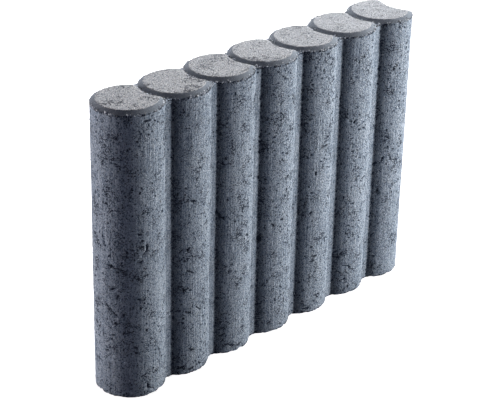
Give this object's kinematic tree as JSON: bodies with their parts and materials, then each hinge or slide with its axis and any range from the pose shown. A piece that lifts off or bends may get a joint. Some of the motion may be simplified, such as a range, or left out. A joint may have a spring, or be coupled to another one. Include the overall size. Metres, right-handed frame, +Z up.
{
  "type": "concrete edging palisade",
  "caption": "Straight edging block cast in dark concrete as a row of joined round posts, with flat bevelled tops, a round end and a hollow end that takes the next block.",
  "frame": {"origin": "on the floor, at the middle of the block's length and thickness", "axes": "+X along the row of posts, from the round end to the hollow end; +Y across the thickness; +Z up, from the base to the flat tops"},
  "size_m": [0.4726, 0.08, 0.35],
  "materials": {
    "concrete": "fair-faced cast concrete, through-coloured anthracite, matt, rough flat tops and smoother bevels"
  },
  "bodies": {
    "root": {"palisade_block": "concrete"}
  },
  "joints": []
}
